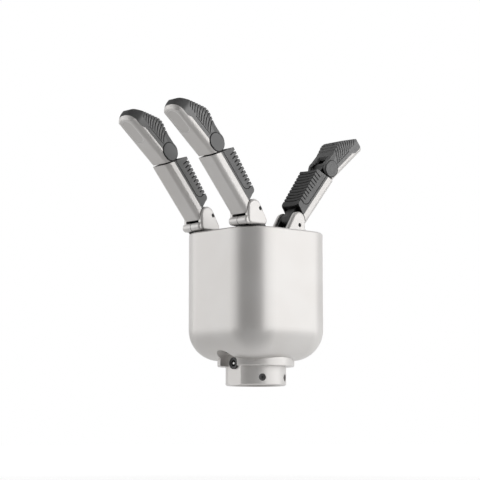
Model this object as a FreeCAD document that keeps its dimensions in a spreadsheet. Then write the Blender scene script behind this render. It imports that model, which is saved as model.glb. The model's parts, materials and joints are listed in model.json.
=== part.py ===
import FreeCAD, Part
import math
import os

import Sketcher

# Three-fingered robot hand: a palm housing on a wrist collar, two fingers on one side and a thumb
# opposite, drawn fully open. Millimetres, +Z up, origin at the middle of the collar's lower face.
# The two fingers stand on the -X side, the thumb on the +X side.

DOC = FreeCAD.newDocument("RobotHand")
SHEET = DOC.addObject("Spreadsheet::Sheet", "Sizes")

SIZES = {
    # Palm housing
    "palm_width": 78.5,
    "palm_corner": 22.0,
    "palm_floor_z": 17.0,
    "palm_top_z": 105.0,
    "palm_wall": 2.6,
    "palm_floor": 5.0,
    "bowl_round": 21.4,
    "bowl_inner_slope": 13.0,
    "rim_slope": 0.9,
    "cable_hole": 5.0,
    # Wrist collar and its flange ring
    "collar_radius": 20.8,
    "collar_height": 13.0,
    "collar_chamfer": 0.8,
    "collar_flat": 19.8,
    "wrist_bore": 17.0,
    "wrist_bore_depth": 10.4,
    "flange_radius": 26.5,
    "flange_seat": 2.2,
    "flange_edge": 0.5,
    "set_screw_radius": 2.5,
    "set_screw_height": 5.3,
    "set_screw_sink": 0.9,
    "set_screw_key": 1.25,
    "set_screw_step": 60.0,
    # Power socket and the scoop that clears it
    "scoop_radius": 8.5,
    "socket_z": 14.9,
    "socket_radius": 4.0,
    "socket_length": 6.5,
    "socket_proud": 1.2,
    "insert_radius": 3.1,
    "insert_cup": 2.2,
    "insert_depth": 3.2,
    "insert_cup_depth": 1.6,
    "pin_radius": 0.8,
    # Top plate, inner frame, board and motors
    "plate_thickness": 4.0,
    "plate_screw_head": 2.8,
    "plate_screw_shank": 1.5,
    "plate_screw_length": 9.0,
    "shelf_z": 40.0,
    "shelf_thickness": 3.0,
    "post_radius": 3.2,
    "corner_post_edge": 15.25,
    "side_post_edge": 8.75,
    "side_post_back": 2.0,
    "board_edge": 19.25,
    "board_thickness": 1.6,
    "chip_side": 12.0,
    "chip_height": 1.8,
    "motor_radius": 6.0,
    "motor_length": 38.0,
    "inner_motor_x": 12.0,
    "inner_motor_y": 12.5,
    # Where the three finger pivots stand, in from the palm's sides
    "finger_edge": 7.95,
    "thumb_edge": 5.95,
    "finger_side_edge": 15.15,
    "pivot_rise": 12.2,
    # Turntable under each knuckle
    "swivel_back": 4.6,
    "table_radius": 10.4,
    "table_top_radius": 9.8,
    "table_clearance": 0.3,
    "cover_clearance": 1.1,
    "spigot_radius": 4.5,
    "spigot_length": 6.3,
    "bearing_radius": 7.0,
    "running_fit": 0.05,
    # Knuckle covers and the block between them
    "knuckle_half_width": 9.8,
    "cheek_thickness": 3.2,
    "cheek_round": 6.0,
    "cheek_slope": 31.0,
    "cheek_toe_round": 3.2,
    "cheek_heel_round": 3.4,
    "cheek_edge_round": 1.8,
    "barrel_radius": 2.9,
    "barrel_proud": 1.9,
    "barrel_half_length": 9.0,
    "barrel_end_round": 1.3,
    "barrel_seam": 0.12,
    "left_screw_back": 4.6,
    "left_screw_drop": 0.0,
    "right_screw_back": 0.1,
    "right_screw_drop": 3.7,
    "cover_screw_radius": 1.45,
    "cover_screw_sink": 1.1,
    "ear_inner": 4.2,
    "block_web": 4.2,
    "block_inset": 1.1,
    "knuckle_pin": 1.6,
    # Links: tilt of each from upright in the open pose, and the joint's place on the first one
    "proximal_tilt": 40.0,
    "distal_tilt": 50.0,
    "joint_reach": 52.3,
    "joint_offset": 0.5,
    "link_half_width": 8.75,
    "core_half_width": 7.2,
    "hub_half_width": 4.0,
    "hub_radius": 5.0,
    "link_clearance": 6.5,
    "link_back": 7.6,
    "link_border": 1.0,
    "link_gap": 0.3,
    "link_heel": 1.2,
    "link_round": 3.5,
    "core_slope": 1.2,
    "shell_wall": 1.5,
    "pad_low": 7.25,
    "pad_high": 10.95,
    "link_end_front": 41.6,
    "link_end_back": 47.1,
    "pad_heel": 8.2,
    "pad_heel_back": 6.2,
    "pad_heel_round": 2.7,
    "core_front": 5.8,
    "core_start": 9.2,
    "core_end": 40.6,
    "finger_motor_radius": 4.5,
    "finger_motor_start": 12.0,
    "finger_motor_length": 26.0,
    # Ribs of the pads
    "rib_pitch": 2.9,
    "rib_start": 12.6,
    "rib_gap": 0.9,
    "rib_depth": 0.8,
    "rib_side_reach": 4.6,
    "tip_rib_pitch": 2.5,
    "tip_rib_start": 12.0,
    "tip_rib_slant": 4.4,
    "tip_rib_curve": 16.0,
    "groove_width": 0.5,
    "groove_inset": 1.6,
    "groove_bend": 4.5,
    "groove_bend_height": 17.0,
    "face_hollow": 0.8,
    # Distal link and its clevis
    "tongue_radius": 5.0,
    "tongue_half_width": 4.9,
    "clevis_inner": 5.1,
    "clevis_radius": 5.9,
    "clevis_throat": 6.8,
    "joint_pin": 1.6,
    "tip_back": 7.8,
    "tip_border": 3.4,
    "tip_border_high": 5.0,
    "tip_border_low": 4.9,
    "tip_heel": 6.6,
    "tip_length": 41.0,
    "tip_shell_end": 39.6,
    "tip_dome_rise": 3.8,
    "tip_dome_radius": 4.2,
    "tip_nose_radius": 14.5,
    "tip_nose_height": 27.0,
    "tip_nose_inset": 2.0,
    "tip_core_front": 4.5,
    "tip_core_end": 33.0,
    "nail_half_width": 5.3,
    "nail_low": 17.2,
    "nail_high": 36.8,
    "nail_depth": 0.6,
    "nail_gap": 0.1,
    "cap_radius": 5.2,
    "cap_stretch": 1.0,
    "cap_proud": 0.5,
}

for row, (alias, number) in enumerate(SIZES.items(), start=1):
    SHEET.set(f"A{row}", alias)
    SHEET.set(f"B{row}", str(number))
    SHEET.setAlias(f"B{row}", alias)
DOC.recompute()


class Size:
    """A length or angle: its number now, and the sheet expression that keeps it up to date."""

    def __init__(self, value, text):
        self.value = value
        self.text = text

    def __add__(self, other):
        other = as_size(other)
        return Size(self.value + other.value, f"({self.text} + {other.text})")

    def __sub__(self, other):
        other = as_size(other)
        return Size(self.value - other.value, f"({self.text} - {other.text})")

    def __rsub__(self, other):
        return as_size(other) - self

    def __mul__(self, other):
        other = as_size(other)
        return Size(self.value * other.value, f"({self.text} * {other.text})")

    def __truediv__(self, other):
        other = as_size(other)
        return Size(self.value / other.value, f"({self.text} / {other.text})")

    def __neg__(self):
        return Size(-self.value, f"(0 - {self.text})")

    __radd__ = __add__
    __rmul__ = __mul__


def as_size(number):
    """A plain number as a Size."""
    if isinstance(number, Size):
        return number
    return Size(float(number), f"{number}")


def size(alias):
    """The sheet's cell of that name."""
    return Size(float(SIZES[alias]), f"Sizes.{alias}")


def sine(angle):
    """Sine of an angle in degrees."""
    return Size(math.sin(math.radians(angle.value)), f"sin({angle.text})")


def cosine(angle):
    """Cosine of an angle in degrees."""
    return Size(math.cos(math.radians(angle.value)), f"cos({angle.text})")


def root(square):
    """Square root."""
    return Size(math.sqrt(square.value), f"sqrt({square.text})")


def bind(thing, prop, amount):
    """Set a property and tie it to the sheet."""
    thing.setExpression(prop, as_size(amount).text)


# Outlines, drawn in sketches whose points are tied to the sheet


def arc_between(start, end, radius, turn):
    """The shorter arc from start to end, turning left (+1) or right (-1)."""
    ax, ay = start
    bx, by = end
    half = math.hypot(bx - ax, by - ay) / 2
    lift = math.sqrt(max(radius * radius - half * half, 0)) * turn
    cx = (ax + bx) / 2 - (by - ay) / (2 * half) * lift
    cy = (ay + by) / 2 + (bx - ax) / (2 * half) * lift
    circle = Part.Circle(FreeCAD.Vector(cx, cy, 0), FreeCAD.Vector(0, 0, 1), radius)
    first = math.atan2(ay - cy, ax - cx)
    last = math.atan2(by - cy, bx - cx)
    if turn < 0:
        first, last = last, first
    return Part.ArcOfCircle(circle, first, last)


def tie(sketch, kind, where, amount):
    """One distance or radius of a sketch, tied to the sheet."""
    amount = as_size(amount)
    index = sketch.addConstraint(Sketcher.Constraint(kind, *where, amount.value))
    sketch.setExpression(f"Constraints[{index}]", amount.text)


def draw_outline(sketch, corners):
    """A closed outline. A corner is (x, y), or (x, y, radius, turn) where an arc leads to the next."""
    points = [(as_size(c[0]).value, as_size(c[1]).value) for c in corners]
    starts = []
    ends = []
    for k, corner in enumerate(corners):
        here = points[k]
        there = points[(k + 1) % len(points)]
        if len(corner) == 4:
            radius = as_size(corner[2])
            number = sketch.addGeometry(arc_between(here, there, radius.value, corner[3]), False)
            tie(sketch, "Radius", (number,), radius)
            starts.append((number, 1 if corner[3] > 0 else 2))
            ends.append((number, 2 if corner[3] > 0 else 1))
        else:
            line = Part.LineSegment(FreeCAD.Vector(*here, 0), FreeCAD.Vector(*there, 0))
            number = sketch.addGeometry(line, False)
            starts.append((number, 1))
            ends.append((number, 2))
    for k, corner in enumerate(corners):
        follows = starts[(k + 1) % len(corners)]
        sketch.addConstraint(Sketcher.Constraint("Coincident", *ends[k], *follows))
        tie(sketch, "DistanceX", (-1, 1, *starts[k]), corner[0])
        tie(sketch, "DistanceY", (-1, 1, *starts[k]), corner[1])


def origin_plane(body, role):
    """One of a body's three origin planes."""
    return next(plane for plane in body.Origin.OriginFeatures if plane.Role == role)


def new_sketch(body, role, outlines, offset=0):
    """A sketch on an origin plane of the body, moved along the plane's own normal."""
    sketch = body.newObject("Sketcher::SketchObject", body.Name + "_outline")
    sketch.AttachmentSupport = [(origin_plane(body, role), "")]
    sketch.MapMode = "FlatFace"
    bind(sketch, "AttachmentOffset.Base.z", offset)
    for outline in outlines:
        draw_outline(sketch, outline)
    return sketch


def new_body(name):
    return DOC.addObject("PartDesign::Body", name)


def add_pad(body, role, outlines, low, high):
    """A pad between two distances along a plane's normal: +Z for XY, +X for YZ, and Y for XZ."""
    low = as_size(low)
    high = as_size(high)
    offset = -high if role == "XZ_Plane" else low
    pad = body.newObject("PartDesign::Pad", body.Name + "_pad")
    pad.Profile = new_sketch(body, role, outlines, offset)
    bind(pad, "Length", high - low)
    return pad


def prism(name, role, outlines, low, high):
    """A body that is one pad."""
    body = new_body(name)
    add_pad(body, role, outlines, low, high)
    return body


def turned(name, outline):
    """A body turned about Z from an outline of radius and height."""
    body = new_body(name)
    sketch = new_sketch(body, "XZ_Plane", [outline])
    spin = body.newObject("PartDesign::Revolution", name + "_turn")
    spin.Profile = sketch
    spin.ReferenceAxis = (sketch, ["V_Axis"])
    spin.Angle = 360
    return body


def round_edges(body, amount, chosen, kind="PartDesign::Fillet", prop="Radius"):
    """Round or slope the edges of a body that the test picks."""
    DOC.recompute()
    last = body.Tip
    names = [f"Edge{k}" for k, edge in enumerate(last.Shape.Edges, start=1) if chosen(edge)]
    rounding = body.newObject(kind, body.Name + "_round")
    rounding.Base = (last, names)
    bind(rounding, prop, amount)
    return rounding


# Whole solids, and solids joined or cut

OWN_PLACE = {}


def rod(name, radius, low, high, axis="Z", at=(0, 0)):
    """A cylinder along an axis. at gives its place on the other two axes, in X, Y, Z order."""
    low = as_size(low)
    solid = DOC.addObject("Part::Cylinder", name)
    bind(solid, "Radius", radius)
    bind(solid, "Height", as_size(high) - low)
    turn = {"X": "vector(0; 1; 0); 90", "Y": "vector(1; 0; 0); -90", "Z": "vector(0; 0; 1); 0"}[axis]
    spot = {"X": (low, *at), "Y": (at[0], low, at[1]), "Z": (*at, low)}[axis]
    spot = "; ".join(as_size(amount).text for amount in spot)
    OWN_PLACE[solid.Name] = f"placement(vector({spot}); rotation({turn}))"
    solid.setExpression("Placement", OWN_PLACE[solid.Name])
    return solid


def block(name, low, high):
    """A box between two corners."""
    solid = DOC.addObject("Part::Box", name)
    for prop, letter, a, b in zip(("Length", "Width", "Height"), "xyz", low, high):
        bind(solid, prop, as_size(b) - as_size(a))
        bind(solid, f"Placement.Base.{letter}", a)
    return solid


def join(name, solids):
    """Solids fused into one."""
    fused = DOC.addObject("Part::MultiFuse", name)
    fused.Shapes = solids
    fused.Refine = True
    return fused


def group(name, solids):
    """Separate solids kept side by side."""
    both = DOC.addObject("Part::Compound", name)
    both.Links = solids
    return both


def cut(name, base, tools):
    """A solid with others taken out of it."""
    result = DOC.addObject("Part::Cut", name)
    result.Base = base
    result.Tool = tools[0] if len(tools) == 1 else join(name + "_tools", tools)
    result.Refine = True
    return result


def shared(name, first, second):
    """What two solids have in common."""
    both = DOC.addObject("Part::Common", name)
    both.Base = first
    both.Tool = second
    both.Refine = True
    return both


NODES = []


def finish(solid, label, place=None):
    """Name a sub-part and put it in its place in the hand."""
    solid.Label = label
    if place and solid.Name in OWN_PLACE:
        place = f"{place} * {OWN_PLACE[solid.Name]}"
    if place:
        solid.setExpression("Placement", place)
    NODES.append(solid)


def lifted(x, y, z, turn=0, tilt=0):
    """A placement expression: turned about Z and then tilted about Y, standing at x, y, z."""
    where = f"vector({as_size(x).text}; {as_size(y).text}; {as_size(z).text})"
    about_z = f"rotation(vector(0; 0; 1); {turn})"
    about_y = f"rotation(vector(0; 1; 0); {as_size(tilt).text})"
    return f"placement({where}; {about_z} * {about_y})"


def rounded_square(width, corner):
    """A square about the origin with rounded corners."""
    side = width / 2
    flat = side - corner
    return [
        (flat, -side, corner, 1),
        (side, -flat),
        (side, flat, corner, 1),
        (flat, side),
        (-flat, side, corner, 1),
        (-side, flat),
        (-side, -flat, corner, 1),
        (-flat, -side),
    ]


# Places that several pieces share

PALM_TOP = size("palm_top_z")
PALM_INSIDE = size("palm_width") - size("palm_wall") * 2
PALM_INSIDE_CORNER = size("palm_corner") - size("palm_wall")
PLATE_UNDER = PALM_TOP - size("plate_thickness")
FLOOR_TOP = size("palm_floor_z") + size("palm_floor")
FLANGE_TOP = size("palm_floor_z") + size("flange_seat")
SHELF_TOP = size("shelf_z") + size("shelf_thickness")
PIVOT_Z = PALM_TOP + size("pivot_rise")
HALF_PALM = size("palm_width") / 2
FINGER_X = size("finger_edge") - HALF_PALM
FINGER_Y = HALF_PALM - size("finger_side_edge")

# Each finger: name, pivot X and Y, and its turn about Z from the thumb's way round
FINGERS = [
    ("front_finger", FINGER_X, -FINGER_Y, 180),
    ("rear_finger", FINGER_X, FINGER_Y, 180),
    ("thumb", HALF_PALM - size("thumb_edge"), as_size(0), 0),
]


def swivel_centre(pivot_x, pivot_y, turn):
    """Where a finger's turntable turns on the top plate."""
    inward = size("swivel_back") if turn else -size("swivel_back")
    return pivot_x + inward, pivot_y


SWIVELS = [swivel_centre(x, y, turn) for _, x, y, turn in FINGERS]

CORNER_POST = HALF_PALM - size("corner_post_edge")
SIDE_POST = HALF_PALM - size("side_post_edge")
POSTS = [
    (CORNER_POST, -CORNER_POST),
    (CORNER_POST, CORNER_POST),
    (-size("side_post_back"), -SIDE_POST),
    (-size("side_post_back"), SIDE_POST),
]


def scoop(name):
    """The round clearance cut above the collar's flat, in front of the socket."""
    reach = HALF_PALM + 1
    at = (0, size("socket_z"))
    return rod(name, size("scoop_radius"), -reach, -size("collar_flat"), "X", at)


def palm_shell():
    """Housing: a rounded square tub with a bowl bottom, open at the top."""
    body = new_body("palm_tub")
    outer = rounded_square(size("palm_width"), size("palm_corner"))
    add_pad(body, "XY_Plane", [outer], size("palm_floor_z"), PALM_TOP)
    hollow = body.newObject("PartDesign::Pocket", "palm_hollow")
    inner = rounded_square(PALM_INSIDE, PALM_INSIDE_CORNER)
    hollow.Profile = new_sketch(body, "XY_Plane", [inner], PALM_TOP)
    bind(hollow, "Length", PALM_TOP - FLOOR_TOP)
    wide = (size("palm_width"), size("palm_corner"))
    inside = (PALM_INSIDE, PALM_INSIDE_CORNER)
    soften(body, "PartDesign::Chamfer", "Size", "bowl_inner_slope", FLOOR_TOP, inside)
    soften(body, "PartDesign::Fillet", "Radius", "bowl_round", size("palm_floor_z"), wide)
    soften(body, "PartDesign::Chamfer", "Size", "rim_slope", PALM_TOP, wide)
    tools = [
        rod("palm_flange_seat", size("flange_radius"), size("palm_floor_z") - 1, FLANGE_TOP),
        rod("palm_cable_hole", size("cable_hole"), size("palm_floor_z"), FLOOR_TOP + 1),
        scoop("palm_scoop"),
    ]
    finish(cut("palm_housing", body, tools), "palm_shell")


def soften(body, kind, prop, alias, level, square):
    """Round or slope the edges that run round the palm at one level. square is a width and a corner."""
    side = square[0].value / 2
    middle_of_corner = side - square[1].value * (1 - math.sqrt(0.5))

    def runs_round(edge):
        box = edge.BoundBox
        if abs(box.ZMin - level.value) > 0.01 or abs(box.ZMax - level.value) > 0.01:
            return False
        middle = edge.valueAt((edge.FirstParameter + edge.LastParameter) / 2)
        farthest = max(abs(middle.x), abs(middle.y))
        return abs(farthest - side) < 0.01 or abs(farthest - middle_of_corner) < 0.01

    round_edges(body, size(alias), runs_round, kind, prop)


def wrist_collar():
    """Collar with its flange ring: bored for the arm's stub, flat on the socket's side."""
    chamfer = size("collar_chamfer")
    collar = size("collar_radius")
    flange = size("flange_radius")
    edge = size("flange_edge")
    low = size("collar_height")
    profile = [
        (size("wrist_bore"), 0),
        (collar - chamfer, 0),
        (collar, chamfer),
        (collar, low),
        (flange - edge, low),
        (flange, low + edge),
        (flange, FLANGE_TOP),
        (size("cable_hole"), FLANGE_TOP),
        (size("cable_hole"), size("wrist_bore_depth")),
        (size("wrist_bore"), size("wrist_bore_depth")),
    ]
    ring = turned("collar_turning", profile)
    flat = block("collar_flat_cut", (-flange - 1, -collar, -1), (-size("collar_flat"), collar, low))
    radius = size("socket_radius")
    seat = size("collar_flat") + size("socket_proud") - size("socket_length")
    at = (0, size("socket_z"))
    socket_hole = rod("collar_socket_hole", radius, -flange, -seat, "X", at)
    screw_holes = [
        set_screw_rod(f"collar_screw_hole_{k}", k, size("wrist_bore") - 1, collar + 1)
        for k in screw_places()
    ]
    tools = [flat, scoop("collar_scoop"), socket_hole, *screw_holes]
    finish(cut("wrist_part", ring, tools), "wrist_collar")


def screw_places():
    """The set screws stand every 60 degrees, apart from the place of the flat."""
    return (0, 1, 2, 4, 5)


def set_screw_rod(name, place, near, far, radius=None):
    """A radial rod at one of the set screws' places."""
    solid = DOC.addObject("Part::Cylinder", name)
    bind(solid, "Radius", radius or size("set_screw_radius"))
    bind(solid, "Height", far - near)
    aim_radially(solid, place, near)
    return solid


def aim_radially(solid, place, near):
    """Lay a solid's Z axis outwards along a set screw's line."""
    angle = size("set_screw_step") * place
    where = (near * cosine(angle), near * sine(angle), size("set_screw_height"))
    spot = "; ".join(amount.text for amount in where)
    about_z = f"rotation(vector(0; 0; 1); {angle.text})"
    about_y = "rotation(vector(0; 1; 0); 90)"
    solid.setExpression("Placement", f"placement(vector({spot}); {about_z} * {about_y})")


def set_screws():
    """Grub screws that clamp the collar on the arm's stub, each with its hexagon socket."""
    near = size("wrist_bore")
    far = size("collar_radius") - size("set_screw_sink")
    screws = []
    for place in screw_places():
        grub = set_screw_rod(f"grub_{place}", place, near, far)
        key = DOC.addObject("Part::Prism", f"grub_key_{place}")
        key.Polygon = 6
        bind(key, "Circumradius", size("set_screw_key"))
        bind(key, "Height", size("set_screw_radius"))
        aim_radially(key, place, far - 1.2)
        screws.append(cut(f"grub_screw_{place}", grub, [key]))
    finish(group("grub_screws", screws), "set_screws")


def power_socket():
    """Round socket over the collar's flat: metal barrel, dark insert and centre contact."""
    face = -(size("collar_flat") + size("socket_proud"))
    at = (0, size("socket_z"))
    back = face + size("socket_length")
    barrel = rod("socket_barrel", size("socket_radius"), face, back, "X", at)
    bed = face + size("insert_depth")
    mouth = rod("socket_mouth", size("insert_radius"), face - 1, bed, "X", at)
    finish(cut("socket_shell", barrel, [mouth]), "power_socket")
    plug = rod("insert_body", size("insert_radius"), face + 0.3, bed, "X", at)
    cup_bed = face + 0.3 + size("insert_cup_depth")
    cup = rod("insert_cup_cut", size("insert_cup"), face - 1, cup_bed, "X", at)
    finish(cut("insert_solid", plug, [cup]), "socket_insert")
    contact = rod("contact_rod", size("pin_radius"), face + 0.5, cup_bed, "X", at)
    finish(contact, "socket_contact")


def top_plate():
    """Plate that closes the palm and carries the three swivel bearings."""
    outline = rounded_square(PALM_INSIDE, PALM_INSIDE_CORNER)
    slab = prism("plate_slab", "XY_Plane", [outline], PLATE_UNDER, PALM_TOP)
    tools = []
    for k, (x, y) in enumerate(SWIVELS):
        radius = size("bearing_radius")
        tools.append(rod(f"plate_bearing_hole_{k}", radius, PLATE_UNDER - 1, PALM_TOP + 1, "Z", (x, y)))
    tools += [plate_screw(f"plate_sink_{k}", x, y) for k, (x, y) in enumerate(POSTS)]
    finish(cut("plate_drilled", slab, tools), "top_plate")


def plate_screw(name, x, y):
    """Countersunk screw at one post, its head flush with the plate."""
    head = size("plate_screw_head")
    shank = size("plate_screw_shank")
    length = size("plate_screw_length")
    profile = [
        (0, PALM_TOP - length),
        (shank, PALM_TOP - length),
        (shank, PALM_TOP - (head - shank)),
        (head, PALM_TOP),
        (0, PALM_TOP),
    ]
    screw = turned(name, profile)
    bind(screw, "Placement.Base.x", x)
    bind(screw, "Placement.Base.y", y)
    return screw


def plate_screws():
    screws = [plate_screw(f"plate_screw_{k}", x, y) for k, (x, y) in enumerate(POSTS)]
    finish(group("plate_screw_set", screws), "plate_screws")


def inner_frame():
    """Shelf across the palm with four posts that carry the top plate."""
    outline = rounded_square(PALM_INSIDE, PALM_INSIDE_CORNER)
    shelf = prism("frame_shelf", "XY_Plane", [outline], size("shelf_z"), SHELF_TOP)
    posts = []
    for k, (x, y) in enumerate(POSTS):
        posts.append(rod(f"frame_post_{k}", size("post_radius"), size("shelf_z"), PLATE_UNDER, "Z", (x, y)))
    frame = join("frame_with_posts", [shelf, *posts])
    tools = [plate_screw(f"frame_thread_{k}", x, y) for k, (x, y) in enumerate(POSTS)]
    tools.append(rod("frame_cable_hole", size("cable_hole"), size("shelf_z") - 1, SHELF_TOP + 1))
    finish(cut("frame_drilled", frame, tools), "inner_frame")


def controller_board():
    """Circuit board on the shelf, with its chips."""
    half = HALF_PALM - size("board_edge")
    top = SHELF_TOP + size("board_thickness")
    board = block("board_slab", (-half, -half, SHELF_TOP), (half, half, top))
    chip = size("chip_side") / 2
    parts = [board]
    for k, (x, y) in enumerate(((-half * 0.6, half * 0.4), (half * 0.6, 0), (-half * 0.5, -half * 0.5))):
        low = (x - chip, y - chip, top)
        high = (x + chip, y + chip, top + size("chip_height"))
        parts.append(block(f"board_chip_{k}", low, high))
    hole = rod("board_cable_hole", size("cable_hole"), SHELF_TOP - 1, top + 4)
    finish(cut("board_solid", join("board_with_chips", parts), [hole]), "controller_board")


def drive_motors():
    """Gear motors under the top plate: one below each swivel and one beside it for its knuckle."""
    inner_x = size("inner_motor_x")
    inner_y = size("inner_motor_y")
    places = [*SWIVELS, (-inner_x, -inner_y), (-inner_x, inner_y), (inner_x, as_size(0))]
    low = PLATE_UNDER - size("motor_length")
    motors = []
    for k, place in enumerate(places):
        can = rod(f"motor_can_{k}", size("motor_radius"), low, PLATE_UNDER, "Z", place)
        if k < len(SWIVELS):
            well_floor = PALM_TOP + size("table_clearance") - size("spigot_length") - 0.3
            radius = size("spigot_radius") + size("running_fit")
            well = rod(f"motor_well_{k}", radius, well_floor, PLATE_UNDER + 1, "Z", place)
            can = cut(f"motor_{k}", can, [well])
        motors.append(can)
    finish(group("motor_set", motors), "drive_motors")


def swivel_bearings():
    """Bush in the top plate for each turntable's spigot."""
    rings = []
    for k, place in enumerate(SWIVELS):
        ring = rod(f"bush_{k}", size("bearing_radius"), PLATE_UNDER, PALM_TOP, "Z", place)
        bore_radius = size("spigot_radius") + size("running_fit")
        bore = rod(f"bush_bore_{k}", bore_radius, PLATE_UNDER - 1, PALM_TOP + 1, "Z", place)
        rings.append(cut(f"bush_ring_{k}", ring, [bore]))
    finish(group("bush_set", rings), "swivel_bearings")


# One finger. Its knuckle is drawn about the flexing pivot, with +X outwards from the palm's middle.
# Each link is drawn about its own joint, with +Z along the link and +X towards its back.

FOOT = size("pivot_rise") - size("cover_clearance")


def cheek_outline():
    """Side of a knuckle cover: round over the pivot, upright behind, sloping in front."""
    arch = size("cheek_round")
    slope = size("cheek_slope")
    toe = size("cheek_toe_round")
    heel = size("cheek_heel_round")
    toe_x = -(arch - toe + sine(slope) * (FOOT - toe)) / cosine(slope)
    toe_z = toe - FOOT
    return [
        (arch, 0, arch, 1),
        (-arch * cosine(slope), arch * sine(slope)),
        (toe_x - toe * cosine(slope), toe_z + toe * sine(slope), toe, 1),
        (toe_x, -FOOT),
        (arch - heel, -FOOT, heel, 1),
        (arch, heel - FOOT),
    ]


def knuckle_cover(name, place, side):
    """Half of the knuckle's casing: a cheek and half of the bar behind it. side is +1 for +Y."""
    outer = size("knuckle_half_width")
    inner = outer - size("cheek_thickness")
    low, high = (inner, outer) if side > 0 else (-outer, -inner)
    cheek = prism(name + "_cheek", "XZ_Plane", [cheek_outline()], low, high)
    face_y = side * outer.value
    round_edges(cheek, size("cheek_edge_round"), lambda edge: flat_at_y(edge, face_y))
    half = join(name + "_half", [cheek, half_bar(name + "_bar", side)])
    hole = cover_screw_rod(name + "_hole", side, inner - 1, outer + 1)
    finish(cut(name + "_drilled", half, [hole]), name, place)


def half_bar(name, side):
    """Half of the round bar behind the cheeks, from the seam to its rounded end."""
    radius = size("barrel_radius")
    length = size("barrel_half_length")
    end_round = size("barrel_end_round")
    seam = size("barrel_seam") / 2
    profile = [
        (0, seam),
        (radius, seam),
        (radius, length - end_round, end_round, 1),
        (radius - end_round, length),
        (0, length),
    ]
    bar = turned(name, profile)
    x = size("cheek_round") + size("barrel_proud") - radius
    z = radius - FOOT
    turn = f"rotation(vector(1; 0; 0); {-90 * side})"
    bar.setExpression("Placement", f"placement(vector({x.text}; 0; {z.text}); {turn})")
    return bar


def flat_at_y(edge, level):
    """True for an edge that lies in the plane y = level."""
    box = edge.BoundBox
    return abs(box.YMin - level) < 0.01 and abs(box.YMax - level) < 0.01


def cover_screw_rod(name, side, near, far):
    """A rod at a cover's screw, between two distances from the finger's middle plane."""
    which = "left" if side > 0 else "right"
    at = (-size(which + "_screw_back"), -size(which + "_screw_drop"))
    low, high = (near, far) if side > 0 else (-far, -near)
    return rod(name, size("cover_screw_radius"), low, high, "Y", at)


def cover_screws(name, place):
    """The two screws that hold the covers, sunk in their cheeks."""
    outer = size("knuckle_half_width")
    near = outer - size("cheek_thickness")
    far = outer - size("cover_screw_sink")
    screws = [cover_screw_rod(f"{name}_{side}", side, near, far) for side in (1, -1)]
    finish(group(name + "_pair", screws), name, place)


def swivel_base(name, place):
    """Turntable under the knuckle, with the spigot that turns in the top plate."""
    top = -FOOT
    low = size("table_clearance") - size("pivot_rise")
    spigot = size("spigot_radius")
    profile = [
        (0, low - size("spigot_length")),
        (spigot, low - size("spigot_length")),
        (spigot, low),
        (size("table_radius"), low),
        (size("table_top_radius"), top),
        (0, top),
    ]
    table = turned(name + "_turning", profile)
    bind(table, "Placement.Base.x", -size("swivel_back"))
    finish(table, name, place)


def knuckle_block(name, place):
    """Dark block between the covers: a web on the turntable and two ears that hold the pin."""
    inner = size("knuckle_half_width") - size("cheek_thickness")
    slope = size("cheek_slope")
    inset = size("block_inset")
    web_top = size("block_web") - FOOT
    reach = size("cheek_round") - inset
    front_low = -(reach + sine(slope) * FOOT) / cosine(slope)
    front_web = -(reach - sine(slope) * web_top) / cosine(slope)
    front_top = (-reach * cosine(slope), reach * sine(slope))
    web = [(front_low, -FOOT), (0, -FOOT), (0, web_top), (front_web, web_top)]
    web_solid = prism(name + "_web", "XZ_Plane", [web], -inner, inner)
    ear_side = [(front_low, -FOOT), (0, -FOOT), (0, 0), front_top]
    parts = [web_solid]
    for side in (1, -1):
        low, high = (size("ear_inner"), inner) if side > 0 else (-inner, -size("ear_inner"))
        stem = prism(f"{name}_stem_{side}", "XZ_Plane", [ear_side], low, high)
        parts.append(stem)
        parts.append(rod(f"{name}_ear_{side}", reach, low, high, "Y"))
    pin_hole = rod(name + "_pin_hole", size("knuckle_pin"), -inner - 1, inner + 1, "Y")
    finish(cut(name + "_bored", join(name + "_joined", parts), [pin_hole]), name, place)


def knuckle_pin(name, place):
    inner = size("knuckle_half_width") - size("cheek_thickness")
    finish(rod(name + "_rod", size("knuckle_pin"), -inner, inner, "Y"), name, place)


# First link


def link_end(depth):
    """How far the first link's slanted end reaches at that depth towards its back."""
    front = -size("pad_high")
    rise = size("link_end_back") - size("link_end_front")
    return size("link_end_front") + rise * (depth - front) / (size("link_back") - front)


def heel_cut(name):
    """Clears the covers' arches: everything nearer to the pivot than the link's running gap."""
    width = size("link_half_width") + 1
    return rod(name, size("link_clearance"), -width, width, "Y")


def cheek_clearance(name, side):
    """Clears the upright back of one cheek, which leans in the tilted link's own frame."""
    gap = size("link_gap")
    tilt = size("proximal_tilt")
    inner = size("knuckle_half_width") - size("cheek_thickness") - gap
    outer = size("link_half_width") + 1
    low = inner if side > 0 else -outer
    room = DOC.addObject("Part::Box", name)
    bind(room, "Length", size("cheek_round") + gap)
    bind(room, "Width", outer - inner)
    bind(room, "Height", FOOT)
    spot = f"{(FOOT * sine(tilt)).text}; {low.text}; {(-(FOOT * cosine(tilt))).text}"
    room.setExpression("Placement", f"placement(vector({spot}); rotation(vector(0; 1; 0); {(-tilt).text}))")
    return room


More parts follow.
